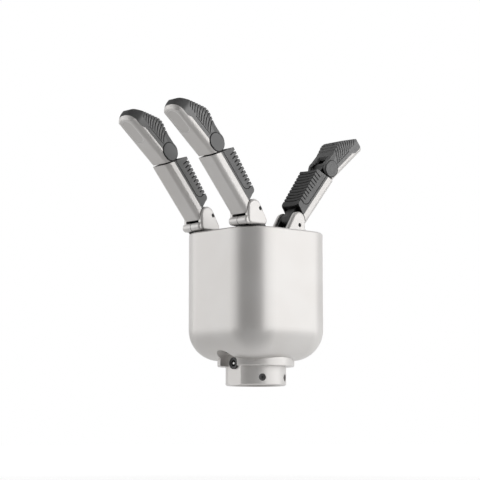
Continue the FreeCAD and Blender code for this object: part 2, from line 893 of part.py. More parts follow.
def proximal_frame(name, place):
    """Core of the first link: hub at the knuckle, body with the motor's pocket, tongue at the joint."""
    hub = size("hub_half_width")
    tongue = size("tongue_half_width")
    core = size("core_half_width")
    back = size("link_back") - size("shell_wall")
    joint = (-size("joint_offset"), size("joint_reach"))
    low = size("core_start")
    high = size("core_end")
    neck = size("hub_radius") - 0.4
    body = block(name + "_body", (-size("core_front"), -core, low), (back, core, high))
    parts = [
        rod(name + "_hub", size("hub_radius"), -hub, hub, "Y"),
        block(name + "_neck", (-neck, -hub, 0), (neck, hub, low + 1)),
        body,
        block(name + "_stem", (joint[0] - neck, -tongue, high - 1), (joint[0] + neck * 0.8, tongue, joint[1])),
        rod(name + "_tongue", size("tongue_radius"), -tongue, tongue, "Y", joint),
    ]
    start = size("finger_motor_start")
    radius = size("finger_motor_radius")
    floor = radius * 2 - size("core_front")
    pocket_low = (-size("core_front") - 1, -radius, start)
    pocket_high = (floor, radius, start + size("finger_motor_length"))
    fit = size("running_fit")
    tools = [
        block(name + "_pocket", pocket_low, pocket_high),
        rod(name + "_hub_bore", size("knuckle_pin") + fit, -hub - 1, hub + 1, "Y"),
        rod(name + "_tongue_bore", size("joint_pin") + fit, -tongue - 1, tongue + 1, "Y", joint),
    ]
    keep = prism(name + "_keep", "XY_Plane", [core_section(back)], -neck * 2, joint[1] + neck * 2)
    form = shared(name + "_form", join(name + "_joined", parts), keep)
    finish(cut(name + "_bored", form, tools), name, place)


def finger_motor(name, place):
    """Small gear motor in the first link, which drives the fingertip joint."""
    radius = size("finger_motor_radius")
    start = size("finger_motor_start")
    at = (radius - size("core_front"), 0)
    finish(rod(name + "_can", radius, start, start + size("finger_motor_length"), "Z", at), name, place)


def core_section(back):
    """Cross-section that the links' cores keep within: its back corners slope to clear the shell's."""
    core = size("core_half_width")
    slope = size("core_slope")
    front = size("pad_high") + 3
    return [
        (-front, -core),
        (back - slope, -core),
        (back, slope - core),
        (back, core - slope),
        (back - slope, core),
        (-front, core),
    ]


def back_section(back):
    """Cross-section of a shell: flat back, rounded edges, open front. X is towards the back."""
    half = size("link_half_width")
    corner = size("link_round")
    front = -corner
    return [
        (front, -half),
        (back - corner, -half, corner, 1),
        (back, corner - half),
        (back, half - corner, corner, 1),
        (back - corner, half),
        (front, half),
    ]


def proximal_shell(name, place):
    """Pale back shell of the first link: a rounded channel."""
    back = size("link_back")
    border = size("link_border")
    wall = size("shell_wall")
    low = size("link_heel")
    channel = prism(name + "_channel", "XY_Plane", [back_section(back)], low, size("link_end_back") + 1)
    side = [(border, low), (back + 1, low), (back + 1, link_end(back + 1)), (border, link_end(border))]
    half = size("link_half_width") + 1
    kept = prism(name + "_side", "XZ_Plane", [side], -half, half)
    far = size("link_end_back") + 2
    tools = [
        prism(name + "_room", "XY_Plane", [core_section(back - wall)], -1, far),
        heel_cut(name + "_heel"),
        cheek_clearance(name + "_left_gap", 1),
        cheek_clearance(name + "_right_gap", -1),
    ]
    finish(cut(name + "_cut", shared(name + "_form", channel, kept), tools), name, place)


def face_depth(along):
    """Depth of the first pad's face below the link's axis, at a distance along it."""
    grow = (size("pad_high") - size("pad_low")) / size("link_end_back")
    return size("pad_low") + grow * along


def proximal_pad_side(skin):
    """Side outline of the first pad, with its face sunk by skin and its heel's corner round."""
    high = size("link_end_back") + 1
    border = size("link_border")
    heel = size("pad_heel")
    corner = size("pad_heel_round")
    return [
        (skin - face_depth(heel + corner), heel + corner, corner, 1),
        (skin + corner - face_depth(heel), heel),
        (border, size("pad_heel_back")),
        (border, high),
        (skin - face_depth(high), high),
    ]


def face_hollow(name, skin):
    """Long cylinder that leaves the first pad's face hollow across, sunk by skin."""
    half = size("link_half_width")
    hollow = size("face_hollow")
    radius = (half * half + hollow * hollow) / (hollow * 2)
    length = size("link_end_back")
    rise = size("pad_high") - size("pad_low")
    slant = root(length * length + rise * rise)
    reach = radius - hollow - skin
    past_end = 10
    solid = DOC.addObject("Part::Cylinder", name)
    bind(solid, "Radius", radius)
    bind(solid, "Height", length + past_end * 2)
    x = -size("pad_low") - reach * length / slant + rise * past_end / slant
    z = -(reach * rise / slant) - length * past_end / slant
    turn = f"rotation(vector(0; 1; 0); -atan({(rise / length).text}))"
    solid.setExpression("Placement", f"placement(vector({x.text}; 0; {z.text}); {turn})")
    return solid


def rib_comb(name, slots, core_side, hollow=False):
    """Thin slabs across a pad, less a core, so that they only score its face and sides."""
    depth = size("rib_depth")
    wide = size("link_half_width") + 1
    slabs = prism(name + "_slabs", "XZ_Plane", slots, -wide, wide)
    narrow = size("link_half_width") - depth
    core = prism(name + "_core", "XZ_Plane", [core_side], -narrow, narrow)
    if hollow:
        core = cut(name + "_hollow_core", core, [face_hollow(name + "_hollow", depth)])
    return cut(name, slabs, [core])


def proximal_slots(count):
    """Side outlines of the first pad's rib gaps, and of the groove along its border."""
    gap = size("rib_gap")
    face = size("pad_high") + 2
    reach = size("rib_side_reach")
    slots = []
    for k in range(count):
        at = size("rib_start") + size("rib_pitch") * k
        slots.append([(-face, at), (-reach, at), (-reach, at + gap), (-face, at + gap)])
    line = size("link_border") - size("groove_inset")
    width = size("groove_width")
    bend = size("groove_bend")
    low = size("groove_bend_height")
    high = size("link_end_back") + 1
    slots.append([
        (line - width, high),
        (line - width, low, bend - width, -1),
        (line - bend, low - bend + width),
        (line - bend, low - bend, bend, 1),
        (line, low),
        (line, high),
    ])
    return slots


def tip_slots(count):
    """Side outlines of the fingertip's slanted rib gaps, and of the groove along its border."""
    gap = size("rib_gap")
    face = size("pad_high") + 2
    slant = size("tip_rib_slant")
    curve = size("tip_rib_curve")
    reach = as_size(0.5)
    slots = []
    for k in range(count):
        at = size("tip_rib_start") + size("tip_rib_pitch") * k
        slots.append([
            (-face, at, curve, -1),
            (-reach, at - slant),
            (-reach, at - slant + gap, curve, 1),
            (-face, at + gap),
        ])
    width = size("groove_width")
    slots.append([(0, 7.4), (width, 7.4), (width, 23.7), (0, 23.7)])
    return slots


def proximal_pad(name, place):
    """Rubber pad of the first link: ribbed face and sides, slanted end, heel shaped to the covers."""
    half = size("link_half_width")
    core = size("core_half_width")
    border = size("link_border")
    solid = prism(name + "_side", "XZ_Plane", [proximal_pad_side(0)], -half, half)
    far = size("link_end_back") + 2
    front = size("pad_high") + 2
    end = [(-front, link_end(-front)), (border + 1, link_end(border + 1)), (border + 1, far), (-front, far)]
    wide = half + 1
    comb = rib_comb(name + "_comb", proximal_slots(10), proximal_pad_side(size("rib_depth")), True)
    tools = [
        prism(name + "_end", "XZ_Plane", [end], -wide, wide),
        block(name + "_room", (-size("core_front"), -core, -1), (border + 1, core, far)),
        heel_cut(name + "_round_heel"),
        face_hollow(name + "_face", as_size(0)),
        comb,
    ]
    finish(cut(name + "_cut", solid, tools), name, place)


# Second link


def tip_nose(name):
    """Bullet that takes the corners off the fingertip's end."""
    radius = size("tip_nose_radius")
    height = size("tip_nose_height")
    low = -size("tip_heel") - 1
    nose = turned(name, [(0, low), (radius, low), (radius, height, radius, 1), (0, height + radius)])
    bind(nose, "Placement.Base.x", -size("tip_nose_inset"))
    return nose


def tip_plan(name):
    """Round-ended plan of the fingertip, as a solid to keep what lies within it."""
    half = size("link_half_width")
    start = size("tip_length") - half
    low = -size("tip_heel") - 1
    plan = [
        (-half, low),
        (half, low),
        (half, start, half, 1),
        (0, size("tip_length"), half, 1),
        (-half, start),
    ]
    deep = size("tip_length")
    return shared(name, prism(name + "_prism", "YZ_Plane", [plan], -deep, deep), tip_nose(name + "_nose"))


def distal_frame(name, place):
    """Core of the fingertip: two clevis plates about the joint and the block that joins them."""
    core = size("core_half_width")
    inner = size("clevis_inner")
    front = size("tip_core_front")
    back = size("tip_back") - size("shell_wall")
    throat = size("clevis_throat")
    end = size("tip_core_end")
    side = [(-front, throat), (back, throat), (back, end), (0, end), (-front, end - 7)]
    parts = [prism(name + "_core", "XZ_Plane", [side], -core, core)]
    for turn in (1, -1):
        low, high = (inner, core) if turn > 0 else (-core, -inner)
        parts.append(rod(f"{name}_plate_{turn}", size("clevis_radius") - 0.5, low, high, "Y"))
        parts.append(block(f"{name}_arm_{turn}", (-front, low, 0), (back, high, throat + 1)))
    keep = prism(name + "_keep", "XY_Plane", [core_section(back)], -throat, end)
    form = shared(name + "_form", join(name + "_joined", parts), keep)
    pin_hole = rod(name + "_pin_hole", size("joint_pin"), -core - 1, core + 1, "Y")
    finish(cut(name + "_bored", form, [pin_hole]), name, place)


def joint_pin(name, place):
    core = size("core_half_width")
    finish(rod(name + "_rod", size("joint_pin"), -core, core, "Y"), name, place)


def nail_outline(gap):
    """Long oval of the nail panel, in Y and Z, drawn in by gap."""
    half = size("nail_half_width") - gap
    low = size("nail_low") + gap + half
    high = size("nail_high") - gap - half
    return [
        (half, low),
        (half, high, half, 1),
        (0, high + half, half, 1),
        (-half, high),
        (-half, low, half, 1),
        (0, low - half, half, 1),
    ]


def distal_shell(name, place):
    """Pale back shell of the fingertip, with the bed of its nail panel."""
    back = size("tip_back")
    border = size("tip_border")
    low_border = size("tip_border_low")
    high_border = size("tip_border_high")
    end = size("tip_shell_end")
    channel = prism(name + "_channel", "XY_Plane", [back_section(back)], -size("tip_heel"), end)
    depth = back - high_border
    rise = size("tip_dome_rise")
    side = [
        (low_border, -4.4),
        (back, -3.2),
        (back, end - rise, (depth * depth + rise * rise) / (depth * 2), 1),
        (high_border, end),
        (high_border, 28.5),
        (border, 25.5),
        (border, 5.5),
        (low_border, 4),
    ]
    wide = size("link_half_width") + 1
    kept = prism(name + "_side", "XZ_Plane", [side], -wide, wide)
    form = shared(name + "_form", channel, kept)
    rounded = shared(name + "_rounded", form, tip_plan(name + "_plan"))
    inside = core_section(back - size("shell_wall"))
    room = prism(name + "_room", "XY_Plane", [inside], -8, size("tip_core_end"))
    bed = prism(name + "_bed", "YZ_Plane", [nail_outline(0)], back - size("nail_depth"), back + 1)
    cap_room = cap_form(name + "_cap_room", size("link_half_width") + 1)
    finish(cut(name + "_cut", rounded, [room, bed, cap_room]), name, place)


def nail_panel(name, place):
    """Flat oval panel set in the back of the fingertip."""
    back = size("tip_back")
    gap = size("nail_gap")
    low = back - size("nail_depth")
    finish(prism(name + "_slab", "YZ_Plane", [nail_outline(gap)], low, back - gap), name, place)


def tip_pad_side(skin):
    """Side outline of the fingertip pad, with its face sunk by skin."""
    heel = size("tip_heel")
    border = size("tip_border")
    low_border = size("tip_border_low")
    high_border = size("tip_border_high")
    end = size("tip_shell_end")
    heel_low = root(heel * heel - low_border * low_border)
    return [
        (low_border, -heel_low),
        (low_border, 4),
        (border, 5.5),
        (border, 25.5),
        (high_border, 28.5),
        (high_border, end, size("tip_dome_radius"), 1),
        (skin - 1.3, end - 0.8),
        (skin - 5.2, 31.4),
        (skin - 9.2, 23.6, 9, 1),
        (skin - 9.7, 15.4),
        (skin - 7.5, 8.8),
        (skin - 6.5, 1.15, heel, 1),
    ]


def fingertip_pad(name, place):
    """Rubber pad that wraps the fingertip: bulging ribbed face, open between the clevis plates."""
    half = size("link_half_width")
    core = size("core_half_width")
    front = size("tip_core_front")
    throat = size("clevis_throat")
    end = size("tip_core_end")
    form = shared(name + "_form", prism(name + "_side", "XZ_Plane", [tip_pad_side(0)], -half, half),
                  tip_plan(name + "_plan"))
    high_border = size("tip_border_high") + 1
    room_side = [(-front, -8), (high_border, -8), (high_border, end), (0, end), (-front, end - 7)]
    inner = size("clevis_inner")
    tools = [
        prism(name + "_room", "XZ_Plane", [room_side], -core, core),
        block(name + "_throat", (-12, -inner, -8), (high_border, inner, throat)),
        block(name + "_heel_room", (-size("clevis_radius"), -core, -8), (high_border, core, 0)),
        rod(name + "_plate_room", size("clevis_radius") - 0.5, -core, core, "Y"),
        cap_form(name + "_cap_room", half + 1),
        rib_comb(name + "_comb", tip_slots(10), tip_pad_side(size("rib_depth"))),
    ]
    finish(cut(name + "_cut", form, tools), name, place)


def cap_form(name, reach):
    """Oval bar right through the joint, as wide as the caps."""
    radius = size("cap_radius")
    stretch = size("cap_stretch")
    return join(name, [
        rod(name + "_low", radius, -reach, reach, "Y", (0, -stretch)),
        rod(name + "_high", radius, -reach, reach, "Y", (0, stretch)),
        block(name + "_middle", (-radius, -reach, -stretch), (radius, reach, stretch)),
    ])


def joint_caps(name, place):
    """Oval caps over the two ends of the fingertip joint."""
    reach = size("link_half_width") + size("cap_proud")
    core = size("core_half_width")
    between = block(name + "_between", (-10, -core, -10), (10, core, 10))
    finish(cut(name + "_pair", cap_form(name + "_oval", reach), [between]), name, place)


def build_finger(finger, x, y, turn):
    """All the pieces of one finger, from its turntable to its tip."""
    knuckle = lifted(x, y, PIVOT_Z, turn)
    link = lifted(x, y, PIVOT_Z, turn, size("proximal_tilt"))
    to_joint = f"placement(vector(0 - Sizes.joint_offset; 0; Sizes.joint_reach); rotation(vector(0; 1; 0); 0))"
    bend = "rotation(vector(0; 1; 0); Sizes.distal_tilt - Sizes.proximal_tilt)"
    tip = f"{link} * {to_joint} * placement(vector(0; 0; 0); {bend})"
    table = f"{knuckle} * placement(vector(0 - Sizes.swivel_back; 0; 0); rotation(vector(0; 0; 1); 0))"
    swivel_base(finger + "_swivel_base", table)
    knuckle_block(finger + "_knuckle_block", knuckle)
    knuckle_cover(finger + "_knuckle_cover_left", knuckle, 1)
    knuckle_cover(finger + "_knuckle_cover_right", knuckle, -1)
    cover_screws(finger + "_cover_screws", knuckle)
    knuckle_pin(finger + "_knuckle_pin", knuckle)
    proximal_frame(finger + "_proximal_frame", link)
    finger_motor(finger + "_finger_motor", link)
    proximal_shell(finger + "_proximal_shell", link)
    proximal_pad(finger + "_proximal_pad", link)
    distal_frame(finger + "_distal_frame", tip)
    joint_pin(finger + "_joint_pin", tip)
    distal_shell(finger + "_distal_shell", tip)
    nail_panel(finger + "_nail_panel", tip)
    fingertip_pad(finger + "_fingertip_pad", tip)
    joint_caps(finger + "_joint_caps", tip)


def check_and_write():
    """Every object has to be sound before any file is written."""
    DOC.recompute()
    for thing in DOC.Objects:
        if any(word in ("Invalid", "Error") for word in thing.State):
            raise RuntimeError(f"{thing.Name} failed: {thing.State}")
    for node in NODES:
        shape = node.Shape
        if shape.isNull() or not shape.isValid() or not shape.Solids:
            raise RuntimeError(f"{node.Label} has no sound solid")
    os.makedirs("parts", exist_ok=True)
    for node in NODES:
        node.Shape.exportStep(f"parts/{node.Label}.step")
    print(f"{len(NODES)} sub-parts, {sum(len(n.Shape.Solids) for n in NODES)} solids")


palm_shell()
wrist_collar()
set_screws()
power_socket()
top_plate()
plate_screws()
inner_frame()
controller_board()
drive_motors()
swivel_bearings()
for finger in FINGERS:
    build_finger(*finger)
check_and_write()
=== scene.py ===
import json
import math

import bmesh
import bpy
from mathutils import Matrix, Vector


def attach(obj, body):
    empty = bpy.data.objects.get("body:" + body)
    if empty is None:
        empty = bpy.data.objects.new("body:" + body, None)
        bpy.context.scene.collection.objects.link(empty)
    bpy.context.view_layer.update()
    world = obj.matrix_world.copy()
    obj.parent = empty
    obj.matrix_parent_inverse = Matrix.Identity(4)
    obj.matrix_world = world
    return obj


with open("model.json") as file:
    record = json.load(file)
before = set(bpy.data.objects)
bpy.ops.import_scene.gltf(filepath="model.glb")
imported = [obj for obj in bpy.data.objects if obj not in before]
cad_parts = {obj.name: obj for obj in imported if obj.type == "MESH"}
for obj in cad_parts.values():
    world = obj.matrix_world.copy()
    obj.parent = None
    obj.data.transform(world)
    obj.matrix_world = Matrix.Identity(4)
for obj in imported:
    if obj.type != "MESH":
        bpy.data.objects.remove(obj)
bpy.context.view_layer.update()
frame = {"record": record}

# Directions: towards the camera of the photograph, to its right, up, and across a finger

BACK = Vector((-0.669, -0.743, 0.0))
RIGHT = Vector((0.743, -0.669, 0.0))
UP = Vector((0.0, 0.0, 1.0))
ACROSS = Vector((0.0, 1.0, 0.0))

PER_METRE = 1000.0


# The fingers, in millimetres and degrees: their pivots and the frames of their two links

HALF_WIDTH = 8.75
PIVOT_HEIGHT = 117.2
JOINT_REACH = 52.3
JOINT_OFFSET = -0.5
LINK_TILT = 40.0
TIP_TILT = 50.0
FINGERS = {
    "front_finger": (-31.3, -24.1, -1),
    "rear_finger": (-31.3, 24.1, -1),
    "thumb": (33.3, 0.0, 1),
}


class Link:
    """Frame of a link in millimetres: its origin, the way along it and the way to its back."""

    def __init__(self, origin, outward, tilt):
        angle = math.radians(tilt)
        self.origin = origin
        self.outward = outward
        self.along = Vector((outward * math.sin(angle), 0.0, math.cos(angle)))
        self.back = Vector((outward * math.cos(angle), 0.0, -math.sin(angle)))

    def point(self, back, along, side):
        """A point in metres. Its side is positive to the left as seen from the palm's middle."""
        place = self.origin + self.back * back + self.along * along
        return (place + ACROSS * side * self.outward) / PER_METRE


def links_of(finger):
    """Frames of a finger's knuckle, first link and fingertip."""
    x, y, outward = FINGERS[finger]
    pivot = Vector((x, y, PIVOT_HEIGHT))
    knuckle = Link(pivot, outward, 0.0)
    link = Link(pivot, outward, LINK_TILT)
    joint = pivot + link.along * JOINT_REACH + link.back * JOINT_OFFSET
    return knuckle, link, Link(joint, outward, TIP_TILT)


# Nodes of a material: a socket that can be counted with, and the one way to add a node


class Socket:
    """An output of a node. Sums, products and so on of sockets and numbers add their own nodes."""

    def __init__(self, tree, output):
        self.tree = tree
        self.output = output

    def math(self, operation, first, second):
        return add_node(
            self.tree, "ShaderNodeMath", {0: first, 1: second}, {"operation": operation}
        )

    def __add__(self, other):
        return self.math("ADD", self, other)

    def __radd__(self, other):
        return self.math("ADD", other, self)

    def __sub__(self, other):
        return self.math("SUBTRACT", self, other)

    def __rsub__(self, other):
        return self.math("SUBTRACT", other, self)

    def __mul__(self, other):
        return self.math("MULTIPLY", self, other)

    def __rmul__(self, other):
        return self.math("MULTIPLY", other, self)

    def __truediv__(self, other):
        return self.math("DIVIDE", self, other)

    def __rtruediv__(self, other):
        return self.math("DIVIDE", other, self)

    def __pow__(self, other):
        return self.math("POWER", self, other)

    def __rpow__(self, other):
        return self.math("POWER", other, self)

    def __abs__(self):
        return self.math("ABSOLUTE", self, 0.0)

    def least(self, other):
        return self.math("MINIMUM", self, other)

    def most(self, other):
        return self.math("MAXIMUM", self, other)

    def ramp(self, low, high, first=0.0, last=1.0):
        """Runs smoothly from first to last as this goes from low to high."""
        stops = {"From Min": low, "From Max": high, "To Min": first, "To Max": last}
        return add_node(
            self.tree,
            "ShaderNodeMapRange",
            {"Value": self, **stops},
            {"interpolation_type": "SMOOTHSTEP"},
            "Result",
        )


def add_node(tree, kind, inputs=None, settings=None, output=0):
    """Add a node: its settings first, then its inputs, which are values or sockets to link."""
    node = tree.nodes.new(kind)
    for name, value in (settings or {}).items():
        setattr(node, name, value)
    feed(tree, node, inputs or {})
    return Socket(tree, node.outputs[output])


def feed(tree, node, inputs):
    """Link or set inputs of a node, which are given by name or number."""
    for key, value in inputs.items():
        if isinstance(value, Socket):
            tree.links.new(value.output, node.inputs[key])
        else:
            node.inputs[key].default_value = value


def dot(tree, place, direction):
    """How far a place lies along a direction."""
    return add_node(
        tree,
        "ShaderNodeVectorMath",
        {0: place, 1: direction},
        {"operation": "DOT_PRODUCT"},
        "Value",
    )


# Numbers of the colour sockets of a Mix node
MIX_AMOUNT, MIX_FIRST, MIX_SECOND, MIX_RESULT = 0, 6, 7, 2


class Paint:
    """One material, with its shader and the object's own coordinates."""

    def __init__(self, name, roughness=0.5, metallic=0.0, specular=0.5, coat=0.0):
        self.material = bpy.data.materials.new(name)
        self.material.use_nodes = True
        self.tree = self.material.node_tree
        self.shader = self.tree.nodes["Principled BSDF"]
        self.set("Roughness", roughness)
        self.set("Metallic", metallic)
        self.set("Specular IOR Level", specular)
        self.set("Coat Weight", coat)
        self.set("Coat Roughness", 0.2)
        self.place = add_node(self.tree, "ShaderNodeTexCoord", output="Object")

    def set(self, name, value):
        feed(self.tree, self.shader, {name: value})

    def noise(self, scale, detail=3.0, rough=0.5, stretch=(1.0, 1.0, 1.0)):
        """Noise of about 1/scale metres across."""
        place = add_node(
            self.tree, "ShaderNodeMapping", {"Vector": self.place, "Scale": stretch}
        )
        look = {"Scale": scale, "Detail": detail, "Roughness": rough}
        return add_node(self.tree, "ShaderNodeTexNoise", {"Vector": place, **look})

    def along(self, direction):
        """How many metres along a direction a point lies from the object's own origin."""
        return dot(self.tree, self.place, direction)

    def along_mm(self, direction):
        """The same in millimetres."""
        return self.along(direction * PER_METRE)

    def aside(self, middle):
        """How far a point lies from a finger's middle plane, in millimetres."""
        return abs(self.along_mm(ACROSS) - middle)

    def along_link(self, link):
        """How far along a link a point lies, in millimetres."""
        return self.along_mm(link.along) - link.origin.dot(link.along)

    def in_front(self, link):
        """How far in front of a link's own line a point lies, in millimetres."""
        return link.origin.dot(link.back) - self.along_mm(link.back)

    def mix(self, amount, first, second):
        """A colour between two others."""
        return add_node(
            self.tree,
            "ShaderNodeMix",
            {MIX_AMOUNT: amount, MIX_FIRST: first, MIX_SECOND: second},
            {"data_type": "RGBA"},
            MIX_RESULT,
        )

    def bump(self, height, distance, strength):
        relief = {"Height": height, "Distance": distance, "Strength": strength}
        self.set("Normal", add_node(self.tree, "ShaderNodeBump", relief))


def grey(level, warmth=0.0):
    """A display grey level out of 255 as a linear colour, a little warmer or cooler."""
    channels = [level + warmth, level, level - warmth]
    return tuple(((c / 255 + 0.055) / 1.055) ** 2.4 for c in channels) + (1.0,)


# Finishes. Scales of noise are per metre, and bumps are in metres

CASING = {"level": 221, "metallic": 0.48, "roughness": 0.40}
CASING_CLOUD = 28.0
CASING_GRAIN = 5200.0
CASING_BUMP = 0.00002
SEAM_LEVEL = 120


def satin_casing(name, level, metallic, roughness, seam=None):
    """Pale satin finish with a fine grain and faint clouds, and a thin dark seam at a y."""
    paint = Paint(name, metallic=metallic)
    cloud = paint.noise(CASING_CLOUD, 2.0).ramp(0.3, 0.7)
    grain = paint.noise(CASING_GRAIN, 2.0, 0.6)
    colour = paint.mix(cloud, grey(level - 3, 3.0), grey(level + 3, 2.4))
    if seam is not None:
        near = paint.aside(seam).ramp(0.15, 0.45, 1.0, 0.0)
        colour = paint.mix(near, colour, grey(SEAM_LEVEL))
    paint.set("Base Color", colour)
    paint.set("Roughness", roughness + (grain - 0.5) * 0.10 + (cloud - 0.5) * 0.03)
    paint.bump(grain, CASING_BUMP, 0.35)
    return paint.material


# The nail panel's ends along the fingertip and its half width, in millimetres
NAIL_LOW = 17.2
NAIL_HIGH = 36.8
NAIL_HALF = 5.2
# Grey level of the painted highlight along the nail panel's edge
NAIL_EDGE_HIGHLIGHT_LEVEL = 244


def nail_finish(name, tip):
    """Satin panel, a little duller than the shell, with a painted highlight along the line where
    its edge turns.
    """
    paint = Paint(name, metallic=0.46)
    cloud = paint.noise(CASING_CLOUD, 2.0).ramp(0.3, 0.7)
    grain = paint.noise(CASING_GRAIN, 2.0, 0.6)
    along = paint.along_link(tip)
    aside = paint.aside(tip.origin.y)
    past_low = NAIL_LOW + NAIL_HALF - along
    past_high = along - (NAIL_HIGH - NAIL_HALF)
    past = past_low.most(past_high).most(0.0)
    # A painted highlight in a thin band just inside the panel's rounded outline
    edge_highlight = (NAIL_HALF - (aside * aside + past * past) ** 0.5).ramp(0.25, 0.6, 1.0, 0.0)
    plain = paint.mix(cloud, grey(207, 3.0), grey(212, 2.6))
    paint.set("Base Color", paint.mix(edge_highlight, plain, grey(NAIL_EDGE_HIGHLIGHT_LEVEL, 1.0)))
    paint.set("Roughness", 0.46 + (grain - 0.5) * 0.10)
    paint.bump(grain, CASING_BUMP, 0.35)
    return paint.material


def bulged(start, end, radius, steps):
    """Points along an arc that bulges forward between two points of the fingertip's face."""
    chord = Vector(end) - Vector(start)
    middle = (Vector(start) + Vector(end)) / 2.0
    outward = Vector((chord.y, -chord.x)).normalized()
    centre = middle + outward * math.sqrt(radius * radius - chord.length_squared / 4.0)
    half_turn = math.asin(chord.length / 2.0 / radius)
    points = []
    for k in range(steps + 1):
        angle = half_turn * (1.0 - 2.0 * k / steps)
        arm = -outward * math.cos(angle) - chord.normalized() * math.sin(angle)
        points.append(tuple(centre + arm * radius))
    return points


# Faces of the pads from the side, as points in front of and along their link, in millimetres.
# The first link's face is hollow across, and the fingertip's end is round from above

LINK_FACE = [(7.25, 0.0), (10.95, 47.1)]
LINK_HOLLOW = 0.8
TIP_FACE = [
    (6.5, 1.15),
    (7.5, 8.8),
    *bulged((9.7, 15.4), (9.2, 23.6), radius=9.0, steps=4),
    (5.2, 31.4),
    (1.3, 38.8),
]
TIP_ROUND_START = 32.25
TIP_RIBS_END = (35.4, 36.2)
# Span along the fingertip of the painted shade over its nose
NOSE_SHADE_SPAN = (31.0, 34.5)

# Grey levels of the pads' rubber: the fingertip's is the link's rubber, painted lighter to stand
# for more light on it
LINK_RUBBER_LEVEL = 150
TIP_RUBBER_LEVEL = 168
# Painted shade: the grey of the gripping faces, and of the rib gaps down in shadow, darker on the
# thumb
FACE_SHADE_LEVEL = 108
THUMB_GAP_SHADE_LEVEL = 26
FINGER_GAP_SHADE_LEVEL = 78


def depth_under(front, along, outline):
    """How deep a point lies under the outline of a pad's face, in millimetres."""
    depth = None
    for (front_a, along_a), (front_b, along_b) in zip(outline, outline[1:]):
        run = Vector((front_b - front_a, along_b - along_a)).normalized()
        under = (front_a - front) * run.y - (along_a - along) * run.x
        depth = under if depth is None else depth.least(under)
    return depth


class Rubber:
    """Dark moulded rubber, with painted shade over its gripping face and darker painted shade down
    in its rib gaps.
    """

    def __init__(self, name, link):
        self.paint = Paint(name, specular=0.14)
        self.front = self.paint.in_front(link)
        self.along = self.paint.along_link(link)
        self.aside = self.paint.aside(link.origin.y)

    def link_pad(self, gap_shade_level):
        hollow = (1.0 - (self.aside / HALF_WIDTH) ** 2.0) * LINK_HOLLOW
        face = depth_under(self.front, self.along, LINK_FACE) - hollow
        # Masks of painted shade: down in the rib gaps, and over the gripping face
        gap_shade = face.least(HALF_WIDTH - self.aside).ramp(0.2, 0.6)
        face_shade = face.ramp(0.1, 0.5, 1.0, 0.0)
        return self.finish(LINK_RUBBER_LEVEL, face_shade, gap_shade, gap_shade_level)

    def tip_pad(self, gap_shade_level, nose_shade):
        """Its last argument is 1 for painted shade over the fingertip's nose and 0 for none."""
        face = depth_under(self.front, self.along, TIP_FACE)
        past = (self.along - TIP_ROUND_START).most(0.0)
        reach = (self.aside * self.aside + past * past) ** 0.5
        ribbed = self.along.ramp(*TIP_RIBS_END, 1.0, 0.0)
        # Masks of painted shade: in the rib gaps short of the round end, and at half strength over
        # the face
        gap_shade = face.least(HALF_WIDTH - reach).ramp(0.2, 0.6) * ribbed
        face_shade = face.ramp(0.1, 0.5, 1.0, 0.0) * 0.5
        # Painted shade over the fingertip's nose, where it is asked for
        face_shade = face_shade.most(self.along.ramp(*NOSE_SHADE_SPAN) * nose_shade)
        return self.finish(TIP_RUBBER_LEVEL, face_shade, gap_shade, gap_shade_level)

    def finish(self, level, face_shade, gap_shade, gap_shade_level):
        """Matte, with dust and a fine texture, and the painted shade of the gripping face and the
        rib gaps.
        """
        paint = self.paint
        dust = paint.noise(60.0, 4.0, 0.6).ramp(0.35, 0.75)
        grain = paint.noise(3400.0, 2.0, 0.6)
        colour = paint.mix(dust, grey(level - 5), grey(level + 6, 0.4))
        # Painted shade over the gripping face, then darker painted shade in the rib gaps
        colour = paint.mix(face_shade, colour, grey(FACE_SHADE_LEVEL))
        paint.set("Base Color", paint.mix(gap_shade, colour, grey(gap_shade_level)))
        paint.set("Roughness", 0.66 + (grain - 0.5) * 0.12)
        paint.bump(grain, 0.00004, 0.5)
        return paint.material


def dark_metal(name, level, roughness):
    """Dark coated metal with a fine cast grain."""
    paint = Paint(name)
    grain = paint.noise(2600.0, 3.0, 0.6)
    cloud = paint.noise(90.0)
    paint.set("Base Color", paint.mix(cloud, grey(level - 4), grey(level + 6)))
    paint.set("Roughness", roughness + (grain - 0.5) * 0.15)
    paint.bump(grain, 0.00003, 0.5)
    return paint.material


def turned_metal(name, low, high, roughness):
    """Bare machined metal with fine lines along it, between two linear colours."""
    paint = Paint(name, metallic=1.0)
    lines = paint.noise(900.0, 3.0, 0.6, (1.0, 1.0, 9.0))
    paint.set("Base Color", paint.mix(lines, low + (1.0,), high + (1.0,)))
    paint.set("Roughness", roughness + (lines - 0.5) * 0.2)
    paint.bump(lines, 0.00002, 0.4)
    return paint.material


def circuit_board(name):
    """Green solder mask with a faint weave and brighter tracks."""
    paint = Paint(name, coat=0.3)
    tracks = paint.noise(260.0, 1.0).ramp(0.52, 0.56)
    weave = paint.noise(2400.0, 2.0)
    paint.set("Base Color", paint.mix(tracks, (0.008, 0.07, 0.03, 1.0), (0.02, 0.14, 0.06, 1.0)))
    paint.set("Roughness", 0.35 + weave * 0.1)
    paint.bump(tracks + weave * 0.2, 0.00003, 0.4)
    return paint.material


# Materials of the slots, and those of pieces that have one of their own

DARK_METALS = {
    "dark_cast": (24, 0.5),
    "dark_plate": (60, 0.5),
    "cap_dark": (128, 0.5),
    "socket_black": (14, 0.28),
    "screw_black": (24, 0.42),
}
TURNED_METALS = {
    "steel": ((0.42, 0.42, 0.42), (0.62, 0.62, 0.61), 0.32),
    "frame_alu": ((0.52, 0.53, 0.54), (0.68, 0.69, 0.70), 0.38),
    "motor_metal": ((0.38, 0.38, 0.39), (0.55, 0.55, 0.56), 0.3),
    "brass": ((0.56, 0.40, 0.14), (0.72, 0.54, 0.22), 0.3),
}


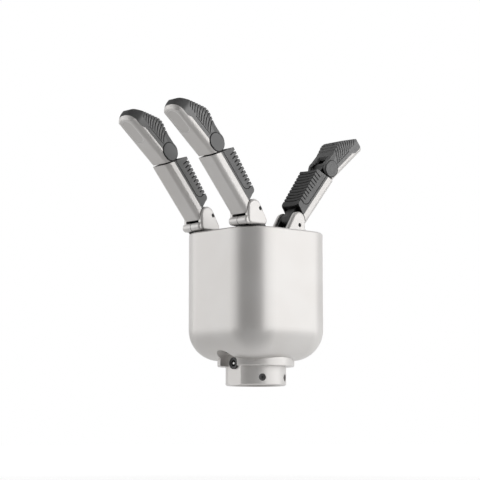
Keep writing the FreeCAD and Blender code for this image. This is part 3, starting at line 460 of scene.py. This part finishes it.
def slot_materials():
    materials = {
        "casing": satin_casing("casing", **CASING),
        # The finger shells take the casing's paint a little darker: painted shade for their backs,
        # which face down
        "casing_finger": satin_casing("casing_finger", level=213, metallic=0.50, roughness=0.40),
        "board": circuit_board("board"),
    }
    for name, look in DARK_METALS.items():
        materials[name] = dark_metal(name, *look)
    for name, look in TURNED_METALS.items():
        materials[name] = turned_metal(name, *look)
    return materials


def own_materials():
    materials = {"set_screws": dark_metal("set_screw_metal", 92, 0.36)}
    for finger in FINGERS:
        _, link, tip = links_of(finger)
        is_thumb = finger == "thumb"
        # Grey of the painted shade in the rib gaps, darker on the thumb's
        gap_shade_level = THUMB_GAP_SHADE_LEVEL if is_thumb else FINGER_GAP_SHADE_LEVEL
        # Painted shade on the fingers' noses, none on the thumb's
        nose_shade = 0.0 if is_thumb else 1.0
        link_rubber = Rubber(finger + "_link_rubber", link).link_pad(gap_shade_level)
        tip_rubber = Rubber(finger + "_tip_rubber", tip).tip_pad(gap_shade_level, nose_shade)
        cover = satin_casing(finger + "_cover", **CASING, seam=link.origin.y)
        materials[finger + "_proximal_pad"] = link_rubber
        materials[finger + "_fingertip_pad"] = tip_rubber
        materials[finger + "_nail_panel"] = nail_finish(finger + "_nail", tip)
        materials[finger + "_knuckle_cover_left"] = cover
        materials[finger + "_knuckle_cover_right"] = cover
    return materials


def paint_pieces(by_slot, by_piece):
    for subpart in frame["record"]["subparts"]:
        name = subpart["node"]
        for slot in bpy.data.objects[name].material_slots:
            slot.material = by_piece.get(name) or by_slot[subpart["material_slot"]]


# Small parts, in millimetres: a near-black ring around each joint cap, painted shade for the
# shadowed gap there, and the covers' screw heads.
# A profile's rows are how much wider than the cap or screw a loop is, and how far it stands out

ROUND_STEPS = 36
CAP_RADIUS = 5.2
CAP_STRETCH = 1.0
# Profile and grey level of the near-black ring of painted shade around each cap
CAP_GAP_SHADE_PROFILE = [(0.7, -0.1), (0.7, 0.06), (0.6, 0.12), (-0.2, 0.12)]
CAP_GAP_SHADE_LEVEL = 22
SCREW_FACE = 8.7
SCREW_RADIUS = 1.4
SCREW_PROFILE = [(0.0, -0.05), (0.0, 0.25), (-0.15, 0.38)]
SCREW_SOCKET = [(0.75, 0.38), (0.72, 0.1)]
# The side of a finger (+1 left, -1 right) and where its cover's screw is, back and along
COVER_SCREWS = {"left": (1, (-4.6, 0.0)), "right": (-1, (-0.1, -3.7))}


def oval(radius, stretch=0.0):
    """Points of an oval: a circle pulled apart by stretch up and down."""
    points = []
    for k in range(ROUND_STEPS):
        angle = math.tau * (k + 0.5) / ROUND_STEPS
        rise = math.sin(angle)
        points.append((radius * math.cos(angle), radius * rise + math.copysign(stretch, rise)))
    return points


def hexagon(radius):
    """Points of a hexagon, as many as an oval has."""
    half_side = math.pi / 6.0
    points = []
    for k in range(ROUND_STEPS):
        angle = math.tau * (k + 0.5) / ROUND_STEPS
        off = angle % (2.0 * half_side) - half_side
        reach = radius * math.cos(half_side) / math.cos(off)
        points.append((reach * math.cos(angle), reach * math.sin(angle)))
    return points


def stacked(name, link, centre, side, loops, material):
    """A part whose loops of points stand one after the other, outward from a finger's side."""
    vertices = []
    for outline, level in loops:
        for back, along in outline:
            vertices.append(link.point(centre[0] + back, centre[1] + along, side * level))
    last = len(vertices) - ROUND_STEPS
    faces = [tuple(range(ROUND_STEPS)), tuple(range(last, last + ROUND_STEPS))]
    for low in range(0, last, ROUND_STEPS):
        high = low + ROUND_STEPS
        for k in range(ROUND_STEPS):
            after = (k + 1) % ROUND_STEPS
            faces.append((low + k, low + after, high + after, high + k))
    mesh = bpy.data.meshes.new(name)
    mesh.from_pydata([tuple(v) for v in vertices], [], faces)
    form = bmesh.new()
    form.from_mesh(mesh)
    bmesh.ops.recalc_face_normals(form, faces=form.faces)
    form.to_mesh(mesh)
    form.free()
    mesh.materials.append(material)
    piece = bpy.data.objects.new(name, mesh)
    bpy.context.scene.collection.objects.link(piece)
    return piece


def add_small_parts(screw_paint):
    # A near-black ring around each cap on both sides: painted shade standing for the gap between
    # cap and shell
    cap_gap_shade_paint = dark_metal("cap_gap_shade_finish", CAP_GAP_SHADE_LEVEL, 0.6)
    cap_gap_shade_loops = [
        (oval(CAP_RADIUS + wider, CAP_STRETCH), HALF_WIDTH + out) for wider, out in CAP_GAP_SHADE_PROFILE
    ]
    head = [(oval(SCREW_RADIUS + wider), SCREW_FACE + out) for wider, out in SCREW_PROFILE]
    head += [(hexagon(radius), SCREW_FACE + out) for radius, out in SCREW_SOCKET]
    for finger in FINGERS:
        knuckle, _, tip = links_of(finger)
        for which, (side, centre) in COVER_SCREWS.items():
            name = f"{finger}_cap_gap_shade_ring_{which}"
            piece = stacked(name, tip, (0.0, 0.0), side, cap_gap_shade_loops, cap_gap_shade_paint)
            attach(piece, finger + "_fingertip")
            name = f"{finger}_screw_head_{which}"
            piece = stacked(name, knuckle, centre, side, head, screw_paint)
            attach(piece, finger + "_knuckle")


# Floor, lights and camera, in metres

BLACK = (0.0, 0.0, 0.0, 1.0)
WHITE = (1.0, 1.0, 1.0, 1.0)
MIDDLE = Vector((0.0, 0.0, 0.09))
FLOOR_Z = -0.08
FLOOR_REACH = 6.0

# The world's strength on matt faces, and what reflections see besides: all round, and behind
WORLD_SOFT = 0.09
WORLD_MIRRORED = 0.21
WORLD_BEHIND = 0.70

# Area lights: where they stand (towards the camera, to its right, up), width, height and watts
LIGHTS = {
    "left_softbox": ((0.05, -1.1, 0.05), 1.2, 1.3, 5.2),
    "right_softbox": ((0.45, 1.05, 0.05), 1.6, 1.3, 11.2),
    "top_softbox": ((-0.1, 0.0, 1.2), 1.4, 1.4, 0.6),
}

# The camera's focal length in pixels of the photograph, and where it stands and looks
PICTURE_PIXELS = 480.0
FOCAL_PIXELS = 1595.0
SENSOR_WIDTH = 36.0
CAMERA_DISTANCE = 1.1
CAMERA_SIDE = -0.0109
CAMERA_HEIGHT = -0.035
AIM_HEIGHT = 0.101


def make_floor():
    """A wide plain floor below the hand, and below the camera, which looks slightly up."""
    far = FLOOR_REACH
    corners = [(x, y, FLOOR_Z) for x, y in ((-far, -far), (far, -far), (far, far), (-far, far))]
    mesh = bpy.data.meshes.new("floor")
    mesh.from_pydata(corners, [], [(0, 1, 2, 3)])
    floor = bpy.data.objects.new("floor", mesh)
    bpy.context.scene.collection.objects.link(floor)
    paint = Paint("floor_paint", roughness=0.9, specular=0.1)
    paint.set("Base Color", paint.mix(paint.noise(3.0), grey(243), grey(247)))
    length = {"operation": "LENGTH"}
    away = add_node(paint.tree, "ShaderNodeVectorMath", {0: paint.place}, length, "Value")
    seen = add_node(paint.tree, "ShaderNodeLightPath", output="Is Camera Ray")
    mirrored = add_node(paint.tree, "ShaderNodeLightPath", output="Is Glossy Ray")
    across = paint.along(RIGHT).ramp(-0.25, 0.25, first=0.55, last=0.85)
    nearer = paint.along(BACK).ramp(0.0, 0.15, first=1.0, last=0.3)
    glow = seen * away.ramp(0.4, 1.6, first=0.7, last=1.0) + mirrored * across * nearer
    paint.set("Emission Color", paint.mix(glow, BLACK, WHITE))
    paint.set("Emission Strength", 1.0)
    floor.data.materials.append(paint.material)


def make_world():
    """White to the camera, softer as a source of light, and brightest in reflections behind."""
    world = bpy.data.worlds.new("studio")
    world.use_nodes = True
    tree = world.node_tree
    seen = add_node(tree, "ShaderNodeLightPath", output="Is Camera Ray")
    glossy = add_node(tree, "ShaderNodeLightPath", output="Is Glossy Ray")
    way = add_node(tree, "ShaderNodeTexCoord", output="Generated")
    behind = dot(tree, way, -BACK).ramp(-0.15, 0.45)
    mirrored = glossy * WORLD_MIRRORED + glossy * behind * WORLD_BEHIND
    strength = WORLD_SOFT + seen * (1.0 - WORLD_SOFT) + (1 - seen) * mirrored
    feed(tree, tree.nodes["Background"], {"Color": WHITE, "Strength": strength})
    bpy.context.scene.world = world


def aimed(item, place, target):
    """Put a light or camera in the scene, looking at a target."""
    item.location = place
    item.rotation_euler = (target - place).to_track_quat("-Z", "Y").to_euler()
    bpy.context.scene.collection.objects.link(item)


def make_lights():
    for name, ((forward, sideways, up), width, height, watts) in LIGHTS.items():
        data = bpy.data.lights.new(name, "AREA")
        data.shape = "RECTANGLE"
        data.size = width
        data.size_y = height
        data.energy = watts
        place = MIDDLE + BACK * forward + RIGHT * sideways + UP * up
        aimed(bpy.data.objects.new(name, data), place, MIDDLE)


def make_camera():
    data = bpy.data.cameras.new("photo_camera")
    data.sensor_width = SENSOR_WIDTH
    data.lens = SENSOR_WIDTH * FOCAL_PIXELS / PICTURE_PIXELS
    data.clip_start = 0.05
    data.clip_end = 60.0
    camera = bpy.data.objects.new("photo_camera", data)
    side = RIGHT * CAMERA_SIDE
    place = BACK * CAMERA_DISTANCE + side + UP * CAMERA_HEIGHT
    aimed(camera, place, side + UP * AIM_HEIGHT)
    bpy.context.scene.camera = camera
    bpy.context.scene.view_settings.view_transform = "Standard"


finishes = slot_materials()
paint_pieces(finishes, own_materials())
add_small_parts(finishes["screw_black"])
make_floor()
make_world()
make_lights()
make_camera()
